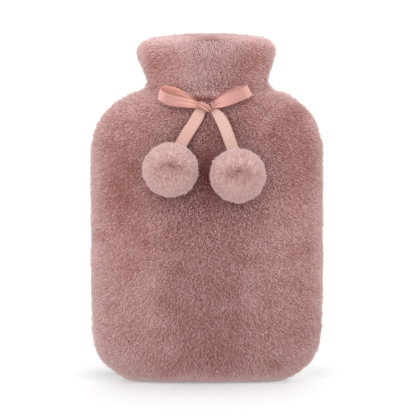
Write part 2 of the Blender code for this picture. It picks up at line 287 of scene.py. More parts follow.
# Runs of its middle line, as on the solids. Columns: x, out, height, slant and lean in degrees,
# and the share of its width that the ribbon spreads to.
RUNS = {
    "loop_left": (
        (-3.5, 32.4, 268.4, 20, 4, 0.36),
        (-8, 33.8, 269.7, 12, 10, 0.46),
        (-12.6, 35.2, 271, 8, 16, 0.66),
        (-19.2, 36.6, 272.3, 6, 20, 0.8),
        (-26.8, 37.8, 273.4, 5, 22, 0.9),
        (-34.4, 38, 274.8, 8, 24, 1),
        (-41, 36.6, 277.4, 12, 25, 1),
        (-45.6, 33, 280.8, 15, 25, 1),
        (-44.6, 29.6, 282.6, 15, 25, 1),
        (-39.4, 27.8, 283.2, 15, 24, 1),
        (-32.6, 27.4, 282.2, 17, 22, 1),
        (-25.6, 28.2, 279.6, 20, 18, 0.92),
        (-19, 29, 276.2, 24, 12, 0.76),
        (-12, 30.4, 272.6, 28, 6, 0.52),
        (-5, 31.2, 269, 32, 2, 0.36),
    ),
    "loop_right": (
        (2, 32.4, 268.6, -10, 0, 0.34),
        (6.6, 33.8, 270.2, -14, 4, 0.5),
        (12, 35.4, 272.4, -16, 8, 0.86),
        (19.8, 37.2, 275.4, -17, 11, 1),
        (27.4, 37.8, 278.2, -19, 13, 1),
        (34.8, 36.8, 281.2, -23, 14, 1),
        (40.2, 33.6, 284, -28, 14, 1),
        (40.4, 30.4, 284.6, -28, 14, 1),
        (35.8, 28.2, 283.2, -26, 14, 1),
        (29.2, 27.6, 281, -24, 13, 1),
        (21.8, 28.2, 278, -22, 10, 0.96),
        (14.2, 29.4, 274.8, -20, 6, 0.74),
        (4, 31, 270.2, -18, 2, 0.36),
    ),
    "tail_left": (
        (-3.8, 31.2, 267.6, -58, 0, 0.7),
        (-6.2, 31.6, 264.2, -58, 0, 0.88),
        (-8.8, 32.8, 259.4, -58, 0, 0.98),
        (-12.6, 34.6, 252.8, -58, 0, 1),
        (-18.6, 38.2, 243.9, -56, 0, 1),
        (-24, 43.6, 234.6, -56, 0, 1),
        (-27.7, 49.2, 227.5, -56, 0, 1),
    ),
    "tail_right": (
        (2.6, 31.4, 268.4, 44, 0, 0.34),
        (5.6, 32, 265.8, 46, 0, 0.52),
        (9.4, 33, 262, 49, 0, 0.78),
        (13.6, 34.6, 256.2, 56, 0, 0.98),
        (17, 36.2, 249.4, 66, 0, 1),
        (20.8, 40.2, 239.6, 68, 0, 1),
        (24.2, 45.6, 230.2, 69, 0, 1),
        (26.3, 50.2, 223.1, 69, 0, 1),
    ),
}

# The knot: the left loop's strip wound over it, and the turned end beside it. Columns: x, out,
# height, half width and half depth.
KNOT = (
    (
        (-10.6, 33, 271.9, 1.7, 1.2),
        (-7, 34.4, 271.1, 2.4, 1.9),
        (-3.6, 35.2, 269.5, 3.1, 2.7),
        (-0.6, 35.2, 267.8, 3.2, 2.9),
        (1.8, 34.2, 266, 2.8, 2.5),
        (3.2, 32.2, 264, 1.8, 1.7),
    ),
    (
        (2.9, 31.6, 272.7, 1, 1.2),
        (4.7, 33.2, 271.4, 1.3, 1.6),
        (5.8, 33.6, 269.6, 1.4, 1.8),
        (5.6, 33.2, 267.6, 1.3, 1.6),
        (4.4, 31.8, 266, 1, 1.2),
    ),
)
KNOT_AROUND = 96      # points round a fold
KNOT_STEPS = 8        # rows to a step of the table
KNOT_CLOSING = 5      # the higher, the shorter the ends in which a fold closes
KNOT_PLEATS = 8       # creases round a fold
KNOT_TWIST = 0.35     # radians that they turn from its middle to its end
KNOT_UNEVEN = 0.25    # and how far they are off their even places
KNOT_VALLEY = 0.68    # size in a crease, and on a ridge
KNOT_RIDGE = 1.1
KNOT_ROUND = 0.8      # the lower, the rounder the ridges

# Pompoms.
Pompom = namedtuple("Pompom", "name x out height")
POMPOMS = (
    Pompom("pompom_left", -34.6, 55.6, 209.4),
    Pompom("pompom_right", 29.5, 55.4, 204.1),
)
POMPOM_SEED = 11
POMPOM_RADIUS = 27.6
POMPOM_SQUASH = 0.965 # height to width
POMPOM_STRANDS = 20000
POMPOM_WIDTH = 0.5
POMPOM_JITTER = 0.012 # how far the strands are off their even places
POMPOM_STRAY = 0.06   # share of stray strands, and how far they stand out
POMPOM_STRAY_OUT = (0.5, 2.2)
POMPOM_APEX = (0.0, -0.88, 0.48)    # the strands are brushed away from a parting through here
POMPOM_PARTING = 0.46 # how far the parting reaches to each side
POMPOM_COMB = 0.40    # how far the roots lie towards the parting
POMPOM_LUMPS = 260    # soft bumps over the ball
LUMP_HEIGHT = 0.6
TIP_DROP = 0.8        # the tips lie inside the ball by this, and by as much again at random
TUFT_STRANDS = 9      # strands that share a tuft
TUFT_JITTER = 0.02    # how far the tufts are off their even places
TUFT_TURN = 0.06      # how far a tuft's way is off straight out, and a strand's within it
OWN_TURN = 0.04
TUFT_DRAW = 0.15      # the tips are drawn to the tuft's middle by up to this share
TUFT_HEIGHT = 0.2     # how far tufts differ in their reach, and locks
LOCK_HEIGHT = 0.2
LOCK_WIDTH = 0.75     # strands that lie in one narrow lock share their tone
LOCK_LENGTH = 7.0
LOCK_SECTORS = 90     # round the parting, each with its locks begun at another place
LOCK_TABLE = (64, 512)  # random numbers, by place along and round
LOCK_JUMP = 37        # from one place on the parting to the next
STEP_IN = 0.5         # strands that reach into the cover are shortened by this at a time
STEPS_IN = 24
CORE_RADIUS = 16.0
CORE_SINK = 1.5       # the roots stand this deep in the core
CORE_SWELL = 0.03
CORE_WAVES = ((410.0, 290.0, 350.0), (-260.0, 330.0, 450.0))    # radians to a metre

# Tone of a pompom's strands: palest at the parting, where painted light lifts the shade between
# the parted strands, and a little darker away from it.
POMPOM_TONE = 0.475
POMPOM_EDGE_TONE = 0.01
PARTING_PAINTED_LIGHT = 0.21
PARTING_REACH = 0.45  # in radians from the parting
EDGE_REACH = 1.1
POMPOM_SPREAD = 0.17  # of the tone, at the parting
POMPOM_EDGE_EVEN = 0.06     # and this much less at the edge
LOCK_TONE = 0.55

# Colours of pile: root, middle and tip of a strand, and what the darkest and the lightest tone
# are multiplied with.
Pile = namedtuple("Pile", "name root middle tip dark light sheen")
PLUSH = Pile("plush_pile", (0.43, 0.062, 0.048), (0.48, 0.195, 0.177), (0.612, 0.378, 0.357),
             (0.48, 0.265, 0.24), (1.43, 1.83, 1.92), 1)
PALE = Pile("pompom_pile", (0.68, 0.33, 0.3), (0.69, 0.38, 0.345), (0.66, 0.43, 0.405),
            (0.6, 0.42, 0.4), (1.35, 1.52, 1.56), 0.4)
SHEEN_TINT = (1, 0.75, 0.725, 1)
WHITE = (1, 1, 1)
KNIT_DARK = 0.72      # the dark loops of the knit, as a share of its colour

# One tone for each run of the ribbon, and one for the knot: lit and shaded copies of one satin,
# painted as each catches more or less of the light.
SATIN_LIT_TONES = ((0.405, 0.2, 0.168), (0.357, 0.171, 0.145), (0.415, 0.24, 0.205),
               (0.4, 0.235, 0.2), (0.46, 0.24, 0.2))
SATIN_EDGE = (0.97, 0.8, 0.76)

# What a run's tone is multiplied with along it: painted shade, red and dark, in the tuck by the knot,
# and painted highlights where the ribbon turns over. The loops take the first part of the table,
# and the tails the last.
SATIN_PAINTED_LIGHT = (
    (0, (0.3, 0.12, 0.1)), (0.04, (0.72, 0.53, 0.49)), (0.096, (1.02, 0.99, 0.98)),
    (0.15, (1.24, 1.2, 1.18)), (0.2, (1.1, 1.07, 1.06)), (0.27, (0.95, 0.92, 0.92)),
    (0.328, (0.91, 0.89, 0.89)), (0.37, (1.2, 1.26, 1.28)), (0.4, (1.4, 1.48, 1.5)),
    (0.448, (1.24, 1.2, 1.16)), (0.688, (1.18, 1.08, 1.04)), (0.8, (0.62, 0.42, 0.38)),
    (0.82, (0.59, 0.41, 0.37)), (0.829, (0.72, 0.53, 0.49)), (0.87, (0.98, 0.95, 0.94)),
    (1, (0.97, 0.95, 0.95)))
LOOP_ALONG = (0, 0.8)
TAIL_ALONG = (0.82, 1)
ACROSS_RUN = (0.001, 0.999)     # of a run's strip in the colour map
ACROSS_KNOT = (0.16, 0.84)      # clear of the edge's line
KNOT_ALONG = (0.004, 0.104)     # in the satin's table: painted shade in a crease, and on from there to a ridge
KNOT_SHADE = 1.8      # the higher, the wider the painted shade of a crease

# The stage, in metres. The floor is greyer near the object, to show its soft shade.
FLOOR_DROP = 0.0002   # just under the foot, so that the two faces don't fall together
FLOOR_TONES = ((0.3, (0.505, 0.502, 0.5)), (0.8, (0.9, 0.9, 0.9)))

# Soft shade on the floor, before the foot and behind its left and right corners. Columns: x, y,
# half width, half depth, and what is left of the floor's tone in the middle.
FLOOR_SHADE = (
    (-0.012, -0.02, 0.11, 0.12, 0.7),
    (-0.092, 0.05, 0.065, 0.11, 0.42),
    (0.112, 0.06, 0.055, 0.12, 0.8),
)

# Lights: name, place, where it aims, size and power.
LIGHTS = (
    ("key", (-0.5, -2.1, 0.9), (0, 0, 0.17), 2, 38),
    ("side", (1.2, -1.2, 0.9), (0, 0, 0.17), 0.7, 5),
    ("top", (0, 0.3, 1.7), (0, 0, 0.25), 1.2, 3),
    ("back", (0.2, 1.9, 0.3), (0, 0, 0.17), 1.2, 18),
)
CAMERA_PLACE = (0.001, -2.394, 0.3367)
CAMERA_AIM = (0.001, 0, 0.1693)
CAMERA_LENS = 213.5   # in millimetres, as is the sensor
CAMERA_SENSOR = 36


# ---- surfaces

def unit(vectors):
    """The vectors, each at length 1."""
    return vectors / np.maximum(np.linalg.norm(vectors, axis=-1, keepdims=True), 1e-9)


def lift_at(patches, x, height):
    """The sum of soft patches at points."""
    return sum(patch.lift * np.exp(-((x - patch.x) / patch.half_width) ** 2
                                   - ((height - patch.height) / patch.half_height) ** 2)
               for patch in patches)


def lens(left, right, depth, turn):
    """Across, out and bow on a half lens; turn runs from 0 at the right seam to 1 at the left."""
    angle = np.pi * turn
    across = np.cos(angle)
    bow = np.maximum(0.0, np.sin(angle)) ** (2 / LENS_POWER)
    half_width = np.where(across > 0, right, left)
    return half_width * np.sign(across) * np.abs(across) ** (2 / LENS_POWER), depth * bow, bow


def front_out(x, height):
    """How far the front's face stands out from the seam plane at points."""
    rows = np.array(SECTIONS)
    left, right, depth = (np.interp(height, rows[:, 0], rows[:, column]) for column in (1, 2, 3))
    half_width = np.where(x > 0, right, left)
    bow = np.maximum(0.0, 1 - np.abs(x / half_width) ** LENS_POWER) ** (1 / LENS_POWER)
    return SEAM_GAP / 2 + bow * (depth + lift_at(FOLDS, x, height))


def fine_rows(front):
    """The rows of the pile's outer face, close together and rounded off.

    Columns: height, left, right, depth, rise, tilt, and the shares of folds, cloth edge and floor.
    """
    rows = []
    for row in FLOOR + SECTIONS + RIM:
        on_rim = row in RIM
        depth = row.front if front else row.back
        folds = front and row.height > 0 and not on_rim
        edge = 1.0 if on_rim else np.clip((row.height - RIM_FROM) / RIM_OVER, 0.0, 1.0)
        rows.append((row.height, row.left, row.right, depth, row.rise, RIM_TILT * on_rim,
                     float(folds), edge, float(row.height == 0)))
    rows = np.array(rows)
    height, left, depth, rise = rows[:, [0, 1, 3, 4]].T
    place = np.stack([height + rise, left, depth], -1)
    along = np.concatenate([[0], np.cumsum(np.linalg.norm(np.diff(place, axis=0), axis=1))])
    at = np.linspace(0, along[-1], int(along[-1] / ROW_STEP))
    fine = np.stack([np.interp(at, along, column) for column in rows.T])
    reach = int(BLUR_REACH * ROW_BLUR / ROW_STEP)
    bell = np.exp(-0.5 * (np.arange(-reach, reach + 1) * ROW_STEP / ROW_BLUR) ** 2)
    wide = np.pad(fine, ((0, 0), (reach, reach)), mode="reflect", reflect_type="odd")
    return np.stack([np.convolve(column, bell / bell.sum(), "valid") for column in wide])


def panel_surfaces(front):
    """Grids of a panel: the tips of its pile, the way out, the cloth under it, and floor share."""
    side = -1 if front else 1
    turn = np.linspace(0, 1, COLUMNS + 1)[None, :]
    height, left, right, depth, rise, tilt, folds, edge, floor = fine_rows(front)[:, :, None]
    x, out, bow = lens(left, right, depth, turn)
    z = height + rise * bow + tilt * x / right
    out = out + folds * bow * lift_at(FOLDS, x, z)
    tips = np.stack([x, side * (out + SEAM_GAP / 2), np.maximum(z, 0.0)], axis=-1)
    away = unit(-side * np.cross(np.gradient(tips, axis=0), np.gradient(tips, axis=1)))
    cloth = tips - away * PILE_DEPTH
    x, out, bow = lens(RIM_CLOTH.left, RIM_CLOTH.right,
                       RIM_CLOTH.front if front else RIM_CLOTH.back, turn)
    rim = np.stack([x, side * (out + SEAM_GAP / 2), RIM_CLOTH.height + RIM_CLOTH.rise * bow], -1)
    edge = np.clip(edge, 0, 1)[:, :, None]
    return tips, away, cloth * (1 - edge) + rim * edge, np.broadcast_to(floor, z.shape)


def at_points(grid, row, column):
    """Values of a grid between its points, from places that are kept inside its last cells."""
    row = np.clip(row, 0, grid.shape[0] - 1.001)
    column = np.clip(column, 0, grid.shape[1] - 1.001)
    low_row, low_column = row.astype(int), column.astype(int)
    down, over = (row - low_row)[:, None], (column - low_column)[:, None]
    near = [grid[low_row + a, low_column + b] for a in (0, 1) for b in (0, 1)]
    return ((near[0] * (1 - over) + near[1] * over) * (1 - down)
            + (near[2] * (1 - over) + near[3] * over) * down)


# ---- meshes

def mesh_from_arrays(name, points, faces, finish, uv=None, facing=None):
    """An object from arrays of points in millimetres and of faces with one count of corners.

    uv places each point in the colour map, and facing is the normal that a point is shaded with.
    """
    count, corners = faces.shape
    mesh = bpy.data.meshes.new(name)
    mesh.vertices.add(len(points))
    mesh.vertices.foreach_set("co", (points * MM).astype(np.float32).ravel())
    mesh.loops.add(count * corners)
    mesh.loops.foreach_set("vertex_index", faces.astype(np.int32).ravel())
    mesh.polygons.add(count)
    mesh.polygons.foreach_set("loop_start", np.arange(0, count * corners, corners, dtype=np.int32))
    mesh.update(calc_edges=True)
    mesh.shade_smooth()
    if uv is not None:
        layer = mesh.uv_layers.new(name="OFBake")
        layer.uv.foreach_set("vector", uv[faces].astype(np.float32).ravel())
    if facing is not None:
        shading = mesh.attributes.new("custom_normal", "FLOAT_VECTOR", "POINT")
        shading.data.foreach_set("vector", facing.astype(np.float32).ravel())
    mesh.materials.append(finish)
    made = bpy.data.objects.new(name, mesh)
    bpy.context.scene.collection.objects.link(made)
    return made


def grid_faces(rows, columns, start, flip):
    """Faces of a grid of points."""
    corner = start + np.arange(rows - 1)[:, None] * columns + np.arange(columns - 1)[None, :]
    faces = np.stack([corner, corner + 1, corner + columns + 1, corner + columns], -1)
    faces = faces.reshape(-1, 4)
    return faces[:, ::-1] if flip else faces


def sheet_faces(rows, columns, flip):
    """Faces of a closed sheet whose two sides are grids, one after the other."""
    size = rows * columns
    top, bottom = np.arange(columns), (rows - 1) * columns + np.arange(columns)
    left, right = np.arange(rows) * columns, np.arange(rows) * columns + columns - 1
    faces = [grid_faces(rows, columns, 0, flip), grid_faces(rows, columns, size, not flip)]
    for edge, turned in ((top, False), (bottom, True), (left, True), (right, False)):
        strip = np.stack([edge[:-1], edge[:-1] + size, edge[1:] + size, edge[1:]], -1)
        faces.append(strip[:, ::-1] if turned != flip else strip)
    return np.concatenate(faces)


def strand_widths(width, stray, rng):
    """Widths of strands: a little uneven, and less where a strand is a stray one."""
    return width * rng.uniform(*WIDTH_RANGE, len(stray)) * np.where(stray, STRAY_WIDTH, 1.0)


def strands(name, root, tip, away, width, tone, finish, rng):
    """Strands as one mesh: each is a closed wedge between an edge at its root and one at its tip."""
    count = len(root)
    chord = tip - root
    flat = unit(np.cross(chord, away + rng.normal(0, FLAT_JITTER, (count, 3))))
    upright = unit(np.cross(chord, flat))
    twist = rng.normal(0, STRAND_TWIST, (count, 1))
    across = flat * np.cos(twist) + upright * np.sin(twist)
    through = upright * np.cos(twist) - flat * np.sin(twist)
    half = width[:, None] / 2
    points = np.stack([root - through * half, root + through * half,
                       tip - across * half, tip + across * half], axis=1)
    tip_facing = away + unit(chord) * TIP_TURN
    facing = np.stack([away, away, tip_facing - across * SIDE_TURN, tip_facing + across * SIDE_TURN],
                      axis=1)
    pattern = np.array([(0, 2, 1), (0, 1, 3), (0, 3, 2), (1, 2, 3)])
    faces = (np.arange(count)[:, None, None] * 4 + pattern[None]).reshape(-1, 3)
    uv = np.empty((count, 4, 2))
    uv[:, :, 0] = tone[:, None] + np.array([-MAP_HALF, MAP_HALF, -MAP_HALF, MAP_HALF])
    uv[:, :, 1] = np.repeat(MAP_ENDS, 2)
    return mesh_from_arrays(name, points.reshape(-1, 3), faces, finish, uv.reshape(-1, 2),
                            unit(facing).reshape(-1, 3))


# ---- materials

def set_values(node, values):
    """Sets sockets of a node by their names."""
    for name, value in values.items():
        node.inputs[name].default_value = value


def new_material(name, values):
    """A material, its nodes and links, and its shader, whose own sockets take the values."""
    made = bpy.data.materials.new(name)
    made.use_nodes = True
    shader = made.node_tree.nodes["Principled BSDF"]
    set_values(shader, values)
    return made, made.node_tree.nodes, made.node_tree.links, shader


def ramp(nodes, stops, interpolation="LINEAR"):
    """A colour ramp node with the given places and colours."""
    node = nodes.new("ShaderNodeValToRGB")
    node.color_ramp.interpolation = interpolation
    while len(node.color_ramp.elements) < len(stops):
        node.color_ramp.elements.new(0.5)
    for element, (place, colour) in zip(node.color_ramp.elements, stops):
        element.position = place
        element.color = (*colour, 1)
    return node


def multiply(nodes, links, first, second=None):
    """A node that multiplies two colours; the second may be a value that is set later."""
    node = nodes.new("ShaderNodeMix")
    node.data_type = "RGBA"
    node.blend_type = "MULTIPLY"
    node.inputs["Factor"].default_value = 1.0
    links.new(first, node.inputs["A"])
    if second is not None:
        links.new(second, node.inputs["B"])
    return node


def colour_map(nodes, links):
    """The two numbers of a point's place in the colour map."""
    place = nodes.new("ShaderNodeUVMap")
    place.uv_map = "OFBake"
    parts = nodes.new("ShaderNodeSeparateXYZ")
    links.new(place.outputs["UV"], parts.inputs["Vector"])
    return parts.outputs["X"], parts.outputs["Y"]


def pile_material(pile):
    """Pile: its colour runs from root to tip, and from strand to strand."""
    made, nodes, links, shader = new_material(pile.name, {
        "Roughness": 0.85, "Sheen Weight": pile.sheen, "Sheen Roughness": 0.5,
        "Sheen Tint": SHEEN_TINT, "Specular IOR Level": 0.05})
    tone_place, along_place = colour_map(nodes, links)
    along = ramp(nodes, [(0, pile.root), (0.62, pile.middle), (0.97, pile.tip)])
    tone = ramp(nodes, [(0, pile.dark), (MIDDLE_TONE, WHITE), (1, pile.light)])
    links.new(along_place, along.inputs["Fac"])
    links.new(tone_place, tone.inputs["Fac"])
    mix = multiply(nodes, links, along.outputs["Color"], tone.outputs["Color"])
    mix.clamp_result = True
    links.new(mix.outputs["Result"], shader.inputs["Base Color"])
    return made


def knit_material(name, colour, scale):
    """Plain knit backing cloth."""
    made, nodes, links, shader = new_material(name, {"Roughness": 0.95})
    place = nodes.new("ShaderNodeTexCoord")
    noise = nodes.new("ShaderNodeTexNoise")
    set_values(noise, {"Scale": scale, "Detail": 4.0})
    links.new(place.outputs["Object"], noise.inputs["Vector"])
    dark = tuple(value * KNIT_DARK for value in colour)
    tone = ramp(nodes, [(0.35, dark), (0.65, colour)])
    links.new(noise.outputs["Fac"], tone.inputs["Fac"])
    links.new(tone.outputs["Color"], shader.inputs["Base Color"])
    bump = nodes.new("ShaderNodeBump")
    set_values(bump, {"Strength": 0.5, "Distance": 0.0006})
    links.new(noise.outputs["Fac"], bump.inputs["Height"])
    links.new(bump.outputs["Normal"], shader.inputs["Normal"])
    return made


def satin_material():
    """Glossy satin with painted light and shade: a lit or shaded tone to each run, painted shade
    and highlights along it, and a thin line at its edges.
    """
    made, nodes, links, shader = new_material("satin_ribbon", {
        "Roughness": 0.4, "Specular IOR Level": 0.6, "Sheen Weight": 0.25, "Sheen Roughness": 0.3})
    strip_place, along_place = colour_map(nodes, links)
    strips = len(RUNS) + 1
    times = nodes.new("ShaderNodeMath")
    times.operation = "MULTIPLY"
    times.inputs[1].default_value = strips
    across = nodes.new("ShaderNodeMath")
    across.operation = "FRACT"
    links.new(strip_place, times.inputs[0])
    links.new(times.outputs[0], across.inputs[0])
    line = ramp(nodes, [(0, SATIN_EDGE), (0.03, SATIN_EDGE), (0.07, WHITE),
                        (0.93, WHITE), (0.97, SATIN_EDGE)])
    links.new(across.outputs[0], line.inputs["Fac"])
    step = 1 / strips
    # Painted light: a lit or shaded tone for each run and for the knot.
    tone = ramp(nodes, [(index * step, colour) for index, colour in enumerate(SATIN_LIT_TONES)],
                "CONSTANT")
    links.new(strip_place, tone.inputs["Fac"])
    edged = multiply(nodes, links, tone.outputs["Color"], line.outputs["Color"])
    # Painted shade and highlights along each run.
    along = ramp(nodes, SATIN_PAINTED_LIGHT)
    links.new(along_place, along.inputs["Fac"])
    shaded = multiply(nodes, links, edged.outputs["Result"], along.outputs["Color"])
    links.new(shaded.outputs["Result"], shader.inputs["Base Color"])
    return made


# ---- cover

def make_cloth(name, front, cloth, away, finish):
    """The backing of a panel: a closed sheet."""
    last = cloth.shape[0] - CLOTH_SHORT
    rows = np.unique(np.append(np.arange(0, last + 1, CLOTH_EVERY), last))
    columns = np.arange(0, COLUMNS + 1, CLOTH_EVERY)
    outer = cloth[np.ix_(rows, columns)]
    inner = outer - away[np.ix_(rows, columns)] * CLOTH_THICK
    points = np.concatenate([outer.reshape(-1, 3), inner.reshape(-1, 3)])
    faces = sheet_faces(len(rows), len(columns), flip=not front)
    return mesh_from_arrays(name, points, faces, finish)


def nap(points):
    """The way in which the pile is brushed at points: its length is the strength."""
    x, height = points[:, 0], points[:, 2]
    body = np.stack([np.clip(x / BODY_FAN, -1, 1) * BODY_BRUSH, 0 * x, -BODY_BRUSH - 0 * x], -1)
    strength = BRUSH_LEAST + (1 - BRUSH_LEAST) * np.clip(np.abs(x) / BRUSH_FULL, 0, 1)
    collar = np.stack([np.clip(x / COLLAR_FAN - COLLAR_SHIFT, *COLLAR_ACROSS), 0 * x,
                       np.clip((height - COLLAR_TOP) / COLLAR_EASE, COLLAR_DOWN, 0.0)], -1)
    share = np.clip((WAIST_TOP - height) / WAIST_OVER, 0, 1)[:, None]
    return body * strength[:, None] * share + collar * (1 - share)


def scatter(cells, count, rng):
    """Random rows and columns, evenly spread by the weight of each cell."""
    share = np.cumsum(cells.ravel())
    picked = np.searchsorted(share, (np.arange(count) + rng.random(count)) * share[-1] / count)
    picked = np.minimum(picked, cells.size - 1)
    index = np.arange(count)
    down, over = rng.random((2, cells.size))[:, picked]
    return (picked // cells.shape[1] + (index * EVEN_STEPS[0] + down) % 1,
            picked % cells.shape[1] + (index * EVEN_STEPS[1] + over) % 1)


def shade(points, front):
    """How much lighter or darker the pile is at points: painted light and shade, and on the front
    also soft patches of tone at random.
    """
    if not front:
        return np.full(len(points), BACK_PAINTED_LIGHT)
    rng = np.random.default_rng(CLOUD_SEED)
    clouds = [Patch(x, height, *reach, lift) for x, height, reach, lift in
              zip(rng.uniform(-CLOUD_SIDE, CLOUD_SIDE, CLOUDS), rng.uniform(0, CLOUD_TOP, CLOUDS),
                  rng.uniform(*CLOUD_REACH, (CLOUDS, 2)), rng.normal(0, CLOUD_TONE, CLOUDS))]
    return lift_at(PAINTED_SHADES + clouds, points[:, 0], points[:, 2])


def ripple(points):
    """An uneven wave over the pile, from -1 to 1."""
    x, height = points[:, 0], points[:, 2]
    across = np.sin(RIPPLE_ACROSS[0] * x + RIPPLE_BEND * np.sin(RIPPLE_ACROSS[1] * height))
    return across * np.sin(RIPPLE_UP[0] * height + RIPPLE_BEND * np.sin(RIPPLE_UP[1] * x))


def contrast(points):
    """How much neighbouring strands differ at points."""
    sides = np.clip(np.abs(points[:, 0]) / CONTRAST_REACH, 0, 1)
    rim = np.clip((points[:, 2] - RIM_CONTRAST_FROM) / RIM_CONTRAST_OVER, 0, 1)
    return CONTRAST_MIDDLE + (1 - CONTRAST_MIDDLE) * sides - RIM_CONTRAST * rim


def steps_along(lean, step):
    """How many steps of the surface a lean is."""
    return np.sum(lean * step, 1) / np.maximum(np.sum(step ** 2, 1), LEAST_SQUARE)


def make_pile(names, front, surfaces, count, finish, seed):
    """The pile of a panel, in pieces from the foot up."""
    tips, away, cloth, floor = surfaces
    rng = np.random.default_rng(seed)
    along, across = np.gradient(tips, axis=0), np.gradient(tips, axis=1)
    cells = np.linalg.norm(np.cross(along, across), axis=-1)[:-1, :-1]
    row, column = scatter(cells * (1 - FLOOR_THIN * floor[:-1, :-1]), count, rng)
    tip = at_points(tips, row, column)
    out = unit(at_points(away, row, column))

    brushed = nap(tip) * NAP_LEAN
    loose = STRAND_LEAN / (1 + NAP_HOLD * np.linalg.norm(brushed, axis=1, keepdims=True))
    lean = brushed + rng.normal(0, 1, (count, 3)) * loose
    lean -= out * np.sum(lean * out, axis=1, keepdims=True)
    root = at_points(cloth, row - steps_along(lean, at_points(along, row, column)),
                     column - steps_along(lean, at_points(across, row, column)))
    root -= out * ROOT_SINK

    turns = np.where(np.arange(count) % 2, 1.0, -1.0)
    differ = contrast(tip)
    side_on = 1 - np.abs(out[:, 1])
    height = turns * np.abs(rng.normal(0, HEIGHT_SPREAD, count)) * differ
    height = height + lift_at(FULLNESS, np.abs(tip[:, 0]), tip[:, 2]) + RIPPLE * ripple(tip) * side_on
    stray = rng.random(count) < STRAY_SHARE
    height = np.where(stray, height + STRAY_HEIGHT, height - PILE_DROP)
    splay = SPLAY * np.clip(1 - tip[:, 2] / SPLAY_HEIGHT, 0, 1)
    tip = tip + out * (height + splay)[:, None]
    tip[:, 1] *= 1 - TUCK * np.clip(1 - tip[:, 2] / TUCK_HEIGHT, 0, 1)
    tip[:, 2] = np.maximum(tip[:, 2], FLOOR_HEIGHTS[0] + rng.random(count) * FLOOR_HEIGHTS[1])

    width = strand_widths(STRAND_WIDTH, stray, rng)
    # Painted light and shade: the front's patches, paler pile seen from the side, and short strands
    # darker than long ones.
    tone = (MIDDLE_TONE + shade(tip, front) + EDGE_PAINTED_LIGHT * side_on
            + turns * np.abs(rng.normal(0, TONE_SPREAD, count)) * differ * (1 - EDGE_EVEN * side_on))
    tone = np.clip(tone, *TONE_LIMITS)

    order = np.argsort(tip[:, 2])
    made = []
    for name, part in zip(names, np.array_split(order, len(names))):
        made.append(strands(name, root[part], tip[part], out[part], width[part], tone[part],
                            finish, rng))
    return made


# ---- pompoms

def sphere_points(count):
    """Points spread evenly over a unit sphere, on a spiral."""
    index = np.arange(count)
    up = 1 - 2 * (index + 0.5) / count
    ring = np.sqrt(1 - up * up)
    angle = np.pi * (3 - math.sqrt(5)) * index
    return np.stack([ring * np.cos(angle), up, ring * np.sin(angle)], -1)


def nearest(points, guides):
    """For each point the index of its nearest guide."""
    tree = KDTree(len(guides))
    for index, guide in enumerate(guides):
        tree.insert(guide, index)
    tree.balance()
    return np.array([tree.find(point)[1] for point in points])


def angle_from(apex, ways):
    """The angles between ways out and their apexes."""
    return np.arccos(np.clip(np.sum(ways * apex, axis=1), -1, 1))


def lock_noise(ways, apex, rng):
    """A number for each way out of a pompom, shared along narrow locks that run from the parting."""
    side = unit(np.cross(apex, (0.0, 0.0, 1.0)))
    other = np.cross(apex, side)
    polar = angle_from(apex, ways)
    turn = np.arctan2(np.sum(ways * other, axis=1), np.sum(ways * side, axis=1)) / (2 * np.pi) + 0.5
    sector = np.minimum((turn * LOCK_SECTORS).astype(int), LOCK_SECTORS - 1)
    ring = polar * POMPOM_RADIUS / LOCK_LENGTH + rng.random(LOCK_SECTORS)[sector]
    around = np.maximum(3, 2 * np.pi * np.sin(polar) * POMPOM_RADIUS / LOCK_WIDTH)
    cell = (turn * 2 ** np.round(np.log2(around))).astype(int)
    cell += LOCK_JUMP * (apex[:, 0] * POMPOM_RADIUS / LOCK_WIDTH).astype(int)
    return rng.normal(0, 1, LOCK_TABLE)[ring.astype(int), cell % LOCK_TABLE[1]]


def make_core(name, centre, finish):
    """The stuffed ball inside a pompom, a little lumpy."""
    bpy.ops.mesh.primitive_ico_sphere_add(subdivisions=4, radius=CORE_RADIUS * MM)
    core = bpy.context.object
    core.name = name
    core.data.name = name
    points = np.array([vert.co for vert in core.data.vertices])
    first, second = (np.sin(points @ np.array(wave)) for wave in CORE_WAVES)
    swell = 1 + CORE_SWELL * first * second
    points = points * swell[:, None] + centre * MM
    core.data.vertices.foreach_set("co", points.astype(np.float32).ravel())
    core.data.materials.append(finish)
    core.data.shade_smooth()
    return core


